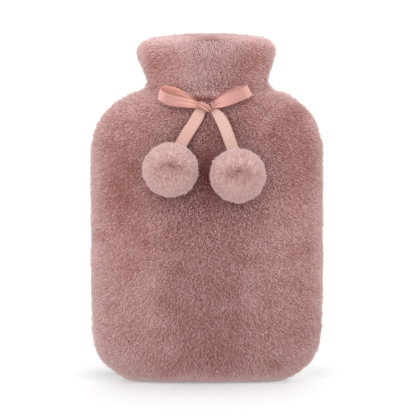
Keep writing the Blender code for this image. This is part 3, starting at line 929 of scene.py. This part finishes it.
def make_pompom(pompom, pile_finish, core_finish, seed):
    """A pompom: a stuffed core and its strands."""
    rng = np.random.default_rng(seed)
    centre = np.array([pompom.x, -pompom.out, pompom.height])
    count = POMPOM_STRANDS
    tufts = count // TUFT_STRANDS
    end = unit(sphere_points(count) + rng.normal(0, POMPOM_JITTER, (count, 3)))
    guides = unit(sphere_points(tufts) + rng.normal(0, TUFT_JITTER, (tufts, 3)))
    tuft = nearest(end, guides)
    apex = np.tile(POMPOM_APEX, (count, 1))
    apex[:, 0] = np.clip(end[:, 0], -POMPOM_PARTING, POMPOM_PARTING)
    apex = unit(apex)
    towards_apex = apex - end * np.sum(end * apex, axis=1, keepdims=True)
    way = unit(end + towards_apex * POMPOM_COMB + rng.normal(0, TUFT_TURN, (tufts, 3))[tuft]
               + rng.normal(0, OWN_TURN, (count, 3)))
    end = unit(end + (guides[tuft] - end) * TUFT_DRAW * rng.random((count, 1)))
    lock = lock_noise(end, apex, rng)
    lumps = unit(rng.normal(0, 1, (POMPOM_LUMPS, 3)))
    bumps = (np.exp((end @ lumps.T - 1) * POMPOM_LUMPS)
             @ rng.normal(0, LUMP_HEIGHT, POMPOM_LUMPS))
    radius = (POMPOM_RADIUS - TIP_DROP + bumps + rng.normal(0, TUFT_HEIGHT, tufts)[tuft]
              + LOCK_HEIGHT * lock - rng.exponential(TIP_DROP, count))
    stray = rng.random(count) < POMPOM_STRAY
    radius = radius + stray * rng.uniform(*POMPOM_STRAY_OUT, count)
    end = end * (1.0, 1.0, POMPOM_SQUASH)
    tip = centre + end * radius[:, None]
    for _ in range(STEPS_IN):
        inside = -tip[:, 1] < front_out(tip[:, 0], tip[:, 2]) + SEAM_GAP
        radius = np.where(inside, radius - STEP_IN, radius)
        tip = centre + end * radius[:, None]
    root = centre + way * (CORE_RADIUS - CORE_SINK)
    width = strand_widths(POMPOM_WIDTH, stray, rng)
    polar = angle_from(apex, end)
    edge = np.clip(polar / EDGE_REACH, 0, 1)
    parting = np.clip(1 - polar / PARTING_REACH, 0, 1)
    # Painted light lifts the parting, over the shade between its parted strands.
    tone = (POMPOM_TONE - POMPOM_EDGE_TONE * edge + PARTING_PAINTED_LIGHT * parting
            + (POMPOM_SPREAD - POMPOM_EDGE_EVEN * edge) * (LOCK_TONE * lock + rng.normal(0, 1, count)))
    tone = np.clip(tone, *TONE_LIMITS)
    pile = strands(pompom.name + "_pile", root, tip, end, width, tone, pile_finish, rng)
    return pile, make_core(pompom.name + "_core", centre, core_finish)


# ---- ribbon

def between(rows, steps):
    """Rows of a table with more rows between them on a smooth curve."""
    rows = np.array(rows, float)
    wide = np.vstack([rows[:1], rows, rows[-1:]])
    made = []
    for a, b, c, d in zip(wide, wide[1:], wide[2:], wide[3:]):
        for t in np.arange(steps) / steps:
            made.append(0.5 * (2 * b + (c - a) * t + (2 * a - 5 * b + 4 * c - d) * t ** 2
                               + (3 * b - a - 3 * c + d) * t ** 3))
    return np.array(made + [rows[-1]])


def ribbon_grid(name):
    """Middle surface of a run of the ribbon, and its facing, with pleats where it is gathered."""
    x, out, height, slant, lean, spread = between(RUNS[name], RIBBON_STEPS).T
    slant, lean = np.radians(slant), np.radians(lean)
    middle = np.stack([x, -out, height], -1)
    across = np.stack([np.sin(slant) * np.cos(lean), -np.sin(lean), np.cos(slant) * np.cos(lean)], -1)
    along = unit(np.gradient(middle, axis=0))
    facing = unit(np.cross(along, across))
    t = np.linspace(-1, 1, RIBBON_COLUMNS)
    gather = (np.sqrt(np.maximum(0, 1 - spread ** 2)) * (GATHER - spread))[:, None]
    pleat = gather * np.sin(t * np.pi * PLEAT_WAVES + PLEAT_SHIFT)[None, :]
    half = RIBBON_WIDTH / 2 * spread
    grid = (middle[:, None] + across[:, None] * (half[:, None] * t[None, :])[..., None]
            + facing[:, None] * pleat[..., None])
    normal = unit(np.cross(np.gradient(grid, axis=0), np.gradient(grid, axis=1)))
    return grid, normal


def in_strip(index, u, v):
    """Places in the colour map, whose strips are the ribbon's runs and then the knot."""
    return np.stack([(index + u) / (len(RUNS) + 1), v], -1).reshape(-1, 2)


def make_ribbon(finish):
    """Loops and tails of the ribbon."""
    made = {}
    for index, name in enumerate(RUNS):
        grid, normal = ribbon_grid(name)
        rows, columns = grid.shape[:2]
        points = np.concatenate([(grid + normal * RIBBON_THICK / 2).reshape(-1, 3),
                                 (grid - normal * RIBBON_THICK / 2).reshape(-1, 3)])
        ends = TAIL_ALONG if name.startswith("tail") else LOOP_ALONG
        u = np.broadcast_to(np.linspace(*ACROSS_RUN, columns), (rows, columns))
        v = np.broadcast_to(np.linspace(*ends, rows)[:, None], (rows, columns))
        uv = in_strip(index, u, v)
        made[name] = mesh_from_arrays("ribbon_" + name, points, sheet_faces(rows, columns, flip=False),
                                      finish, np.concatenate([uv, uv]))
        steps = np.linalg.norm(np.diff(grid[:, columns // 2], axis=0), axis=1)
        made[name]["length"] = steps.sum() * MM
    return made


def make_knot(finish):
    """The knot: creased folds of the ribbon, each a closed tube along its bends, with painted shade in
    its creases.
    """
    round_fold = np.arange(KNOT_AROUND)[None, :]
    angle = round_fold * 2 * np.pi / KNOT_AROUND
    all_points, all_faces, all_uv, start = [], [], [], 0
    for bends in KNOT:
        x, out, height, half, deep = between(bends, KNOT_STEPS).T
        spine = np.stack([x, -out, height], -1)
        rows = len(spine)
        share = np.linspace(-1, 1, rows)[:, None]
        along = unit(np.gradient(spine, axis=0))
        outward = unit(np.array([0.0, -1.0, 0.0]) - along * -along[:, 1:2])
        across = np.cross(along, outward)
        closed = np.sqrt(np.maximum(0.0, 1 - np.abs(share) ** KNOT_CLOSING))
        turned = angle + KNOT_TWIST * share
        pleat = np.abs(np.sin(KNOT_PLEATS / 2 * turned + KNOT_UNEVEN * np.sin(3 * angle)))
        size = closed * (KNOT_VALLEY + (KNOT_RIDGE - KNOT_VALLEY) * pleat ** KNOT_ROUND)
        grid = (spine[:, None] + across[:, None] * (half[:, None] * size * np.cos(angle))[..., None]
                + outward[:, None] * (deep[:, None] * size * np.sin(angle))[..., None])
        first = start + np.arange(rows - 1)[:, None] * KNOT_AROUND
        corner, over = first + round_fold, first + (round_fold + 1) % KNOT_AROUND
        faces = np.stack([corner, over, over + KNOT_AROUND, corner + KNOT_AROUND], -1)
        u = np.broadcast_to(np.linspace(*ACROSS_KNOT, KNOT_AROUND), (rows, KNOT_AROUND))
        # Painted shade: the creases take the dark start of the satin's table, the ridges its bright
        # part.
        v = KNOT_ALONG[0] + KNOT_ALONG[1] * pleat ** KNOT_SHADE * closed
        all_points.append(grid.reshape(-1, 3))
        all_faces.append(faces.reshape(-1, 4))
        all_uv.append(in_strip(len(RUNS), u, v))
        start += rows * KNOT_AROUND
    return mesh_from_arrays("ribbon_knot", np.concatenate(all_points), np.concatenate(all_faces),
                            finish, np.concatenate(all_uv))


# ---- stage

def point_at(item, aim):
    """Turns a light or a camera to face a point."""
    item.rotation_euler = (Vector(aim) - item.location).to_track_quat("-Z", "Y").to_euler()


def floor_material():
    """White floor, with the soft shade near the object."""
    finish, nodes, links, shader = new_material("white_floor", {
        "Roughness": 0.9, "Emission Color": (1, 0.99, 0.985, 1), "Emission Strength": 0.3})
    place = nodes.new("ShaderNodeTexCoord")
    reach = nodes.new("ShaderNodeVectorMath")
    reach.operation = "LENGTH"
    white = ramp(nodes, FLOOR_TONES)
    links.new(place.outputs["Object"], reach.inputs[0])
    links.new(reach.outputs["Value"], white.inputs["Fac"])
    shown = white.outputs["Color"]
    for x, y, half_width, half_depth, share in FLOOR_SHADE:
        local = nodes.new("ShaderNodeMapping")
        set_values(local, {"Scale": (1 / half_width, 1 / half_depth, 1),
                           "Location": (-x / half_width, -y / half_depth, 0)})
        fade = nodes.new("ShaderNodeTexGradient")
        fade.gradient_type = "QUADRATIC_SPHERE"
        links.new(place.outputs["Object"], local.inputs["Vector"])
        links.new(local.outputs["Vector"], fade.inputs["Vector"])
        darker = multiply(nodes, links, shown)
        set_values(darker, {"B": (share, share, share, 1)})
        links.new(fade.outputs["Fac"], darker.inputs["Factor"])
        shown = darker.outputs["Result"]
    links.new(shown, shader.inputs["Base Color"])
    return finish


def make_stage():
    """White floor and surround, soft studio light, and the camera."""
    scene = bpy.context.scene
    scene.view_settings.view_transform = "Standard"
    world = bpy.data.worlds.new("surround")
    world.use_nodes = True
    set_values(world.node_tree.nodes["Background"],
               {"Color": (*WHITE, 1), "Strength": 1.1})
    scene.world = world

    bpy.ops.mesh.primitive_plane_add(size=20.0, location=(0, 0, -FLOOR_DROP))
    floor = bpy.context.object
    floor.name = "floor"
    floor.data.materials.append(floor_material())

    for name, place, aim, size, power in LIGHTS:
        data = bpy.data.lights.new(name, "AREA")
        data.size = size
        data.energy = power
        light = bpy.data.objects.new(name, data)
        light.location = place
        point_at(light, aim)
        scene.collection.objects.link(light)

    data = bpy.data.cameras.new("camera")
    data.lens = CAMERA_LENS
    data.sensor_width = CAMERA_SENSOR
    camera = bpy.data.objects.new("camera", data)
    camera.location = CAMERA_PLACE
    point_at(camera, CAMERA_AIM)
    scene.collection.objects.link(camera)
    bpy.context.scene.camera = camera


def main():
    make_stage()
    plush = pile_material(PLUSH)
    pale = pile_material(PALE)
    knit = knit_material("knit_backing", (0.23, 0.075, 0.065), 900.0)
    core = knit_material("pompom_core", (0.35, 0.18, 0.17), 700.0)
    satin = satin_material()

    for front, label, parts, count, seed in PANELS:
        surfaces = panel_surfaces(front)
        cloth = make_cloth("cloth_" + label, front, surfaces[2], surfaces[1], knit)
        names = [f"pile_{label}_{part}" for part in parts]
        pile = make_pile(names, front, surfaces, count, plush, seed)
        for piece in [cloth] + pile:
            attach(piece, "root")
            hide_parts("cover_" + label)

    ribbon = make_ribbon(satin)
    knot = make_knot(satin)
    for piece in list(ribbon.values()) + [knot]:
        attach(piece, "root")
        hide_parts("ribbon_bow")

    for index, pompom in enumerate(POMPOMS):
        pile, middle = make_pompom(pompom, pale, core, POMPOM_SEED + index)
        for piece in (pile, middle):
            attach(piece, "root")
            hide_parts(pompom.name)


main()
